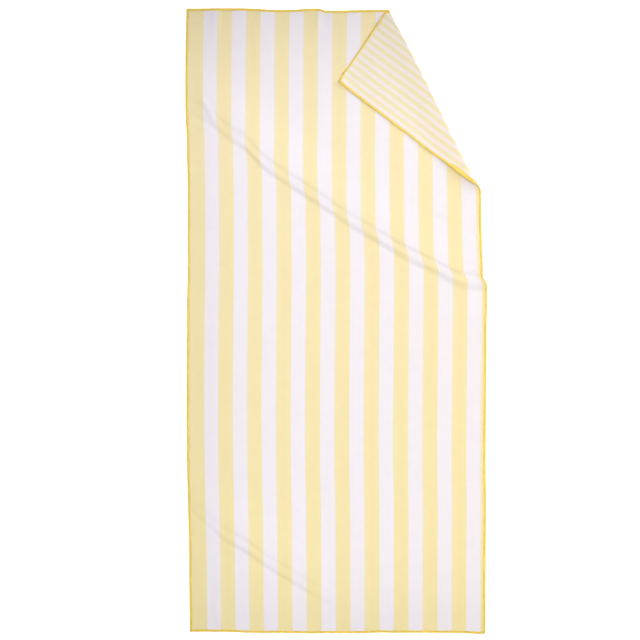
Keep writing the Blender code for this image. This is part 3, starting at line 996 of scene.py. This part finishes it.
def overlock_thread(name):
    """Textured polyester looper thread, plied and slightly fluffy: a clear golden yellow with a
    soft gloss along each loop. Its plies are slanting bands round the thread, drawn coarser than
    real ones, which would be too fine to show, with painted shade in their grooves and painted
    light on their crowns."""
    material, tree, surface = new_finish(name, {
        "Roughness": 0.55,
        "IOR": POLYESTER_IOR,
        "Sheen Weight": 0.25,
        "Sheen Roughness": 0.4,
    })
    flat = add_node(tree, "ShaderNodeUVMap", {"uv_map": FLAT_MAP}, {}).outputs["UV"]
    place = add_node(tree, "ShaderNodeTexCoord", {}, {}).outputs["Object"]
    # A wave texture's diagonal bands come pi / 5 apart, over its scale
    plies = add_node(tree, "ShaderNodeTexWave", {"bands_direction": "DIAGONAL"}, {
        "Vector": flat,
        "Scale": math.pi / 5 / PLY_BAND,
        "Distortion": 1.5,
        "Detail": 1.0,
    })
    shade = add_node(tree, "ShaderNodeTexNoise", {},
                     {"Vector": place, "Scale": 1 / THREAD_PATCH, "Detail": 3.0, "Roughness": 0.6})
    shade_tone = add_node(tree, "ShaderNodeMapRange", {},
                          {"Value": shade.outputs["Fac"], **THREAD_PATCH_TONE})
    # Painted shade and light: the plies' grooves drawn darker and their crowns lighter, from the
    # same wave as their bump
    ply_shade = add_node(tree, "ShaderNodeMapRange", {},
                        {"Value": plies.outputs["Fac"], **PLY_SHADE})
    # The thread's random dye patches times the plies' painted shade and light
    tone_and_shade = add_node(tree, "ShaderNodeMath", {"operation": "MULTIPLY"},
                    {0: shade_tone.outputs["Result"], 1: ply_shade.outputs["Result"]})
    dyed = add_node(tree, "ShaderNodeVectorMath", {"operation": "SCALE"},
                    {0: colour(THREAD_YELLOW)[:3], "Scale": tone_and_shade.outputs[0]})
    bump = add_node(tree, "ShaderNodeBump", {}, {
        "Height": plies.outputs["Fac"],
        "Distance": PLY_HEIGHT,
        "Strength": PLY_STRENGTH,
    })
    tree.links.new(dyed.outputs["Vector"], surface.inputs["Base Color"])
    tree.links.new(bump.outputs["Normal"], surface.inputs["Normal"])
    return material


def floor_paper(name):
    """Plain matt white studio paper with a fine grain. It gives off a little light of its own, so
    it stays clean white to the picture's edges."""
    material, tree, surface = new_finish(name, {
        "Base Color": colour(FLOOR_WHITE),
        "Roughness": 0.9,
        "Emission Color": WHITE,
        "Emission Strength": FLOOR_GLOW,
    })
    place = add_node(tree, "ShaderNodeTexCoord", {}, {}).outputs["Object"]
    grain = add_node(tree, "ShaderNodeTexNoise", {},
                     {"Vector": place, "Scale": 1 / PAPER_GRAIN, "Detail": 2.0})
    bump = add_node(tree, "ShaderNodeBump", {}, {
        "Height": grain.outputs["Fac"],
        "Distance": PAPER_GRAIN_HEIGHT,
        "Strength": PAPER_STRENGTH,
    })
    tree.links.new(bump.outputs["Normal"], surface.inputs["Normal"])
    return material


# ---------------------------------------------------------------- studio

FLOOR_HALF_SIDE = 4.0
FLOOR_DROP = 0.0003
# Metres seen across the picture, the place on the floor under its middle, and the camera's height
SEEN_WIDTH = 1.839
VIEW_MIDDLE = (-0.0465, 0.0027)
CAMERA_HEIGHT = 5.0
SENSOR_WIDTH = 36.0
SKY_STRENGTH = 0.32
# How wide a soft box sends its light with a grid on it, and without one
GRID_SPREAD = math.radians(40.0)
OPEN_SPREAD = math.radians(180.0)
# Two large soft boxes side by side above the towel, with grids that narrow their light, and a
# third far off to the upper right. Columns: name, place, aim, size, spread, watts, colour
SOFTBOXES = (
    ("softbox_left", (-0.21, -0.07, 1.5), (-0.21, -0.07, 0.0), (0.82, 2.04), GRID_SPREAD,
     3.12, "#FBFAFD"),
    ("softbox_right", (0.65, -0.07, 1.5), (0.65, -0.07, 0.0), (0.90, 2.04), GRID_SPREAD,
     3.42, "#FFFBF6"),
    ("softbox_far", (3.35, 3.10, 2.2), (0.00, 0.00, 0.0), (2.40, 2.40), OPEN_SPREAD,
     76.0, "#FFFFFF"),
)


def make_floor():
    """One large square, a hair below the towel."""
    side = FLOOR_HALF_SIDE
    corners = np.array([(-side, -side), (side, -side), (side, side), (-side, side)])
    points = np.column_stack((corners, np.full(4, -FLOOR_DROP)))
    floor = make_piece("floor", points, np.arange(4)[None, :], corners,
                       (floor_paper("studio_floor_paper"),))
    return floor


def make_camera():
    """A camera straight above the middle of the picture, level with it."""
    lens = bpy.data.cameras.new("camera")
    lens.sensor_width = SENSOR_WIDTH
    lens.lens = SENSOR_WIDTH * CAMERA_HEIGHT / SEEN_WIDTH
    camera = bpy.data.objects.new("camera", lens)
    camera.location = (*VIEW_MIDDLE, CAMERA_HEIGHT)
    bpy.context.scene.collection.objects.link(camera)
    bpy.context.scene.camera = camera


def make_softbox(name, place, aim, size, spread, watts, tint):
    """A rectangular soft light at a place, facing another."""
    light = bpy.data.lights.new(name, "AREA")
    light.shape = "RECTANGLE"
    light.size, light.size_y = size
    light.energy = watts
    light.color = colour(tint)[:3]
    light.spread = spread
    lamp = bpy.data.objects.new(name, light)
    lamp.location = place
    lamp.rotation_euler = Vector(np.subtract(aim, place)).to_track_quat("-Z", "Y").to_euler()
    lamp.visible_camera = False
    bpy.context.scene.collection.objects.link(lamp)


def light_studio():
    """An even white sky and the soft boxes."""
    world = bpy.data.worlds.new("studio_sky")
    world.use_nodes = True
    sky = world.node_tree.nodes["Background"]
    sky.inputs["Color"].default_value = WHITE
    sky.inputs["Strength"].default_value = SKY_STRENGTH
    bpy.context.scene.world = world
    for softbox in SOFTBOXES:
        make_softbox(*softbox)
    bpy.context.scene.view_settings.view_transform = "Standard"


# ---------------------------------------------------------------- scene

def main():
    """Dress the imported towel: the cloth, its edging, the floor, the light and the camera."""
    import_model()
    face_print = brushed_microfibre("microfibre_wide_stripes", FACE_STRIPE, FACE_WHITE_MIDDLE,
                                    FACE_FIRST_YELLOW, PRINT_YELLOW, PRINT_SHADED_YELLOW,
                                    PRINT_WHITE)
    back_print = brushed_microfibre("microfibre_narrow_stripes", BACK_STRIPE, BACK_WHITE_MIDDLE,
                                    BACK_FIRST_YELLOW, BACK_YELLOW, BACK_YELLOW, BACK_WHITE)
    thread = overlock_thread("polyester_looper_thread")
    cloth = make_cloth(face_print, back_print)
    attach(cloth, "root")
    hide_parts("towel_cloth")
    for side in ("left", "right", "bottom", "top"):
        run = make_edging(side, thread)
        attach(run, "root")
        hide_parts(f"edging_{side}")
    floor = make_floor()
    make_camera()
    light_studio()
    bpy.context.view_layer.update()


main()
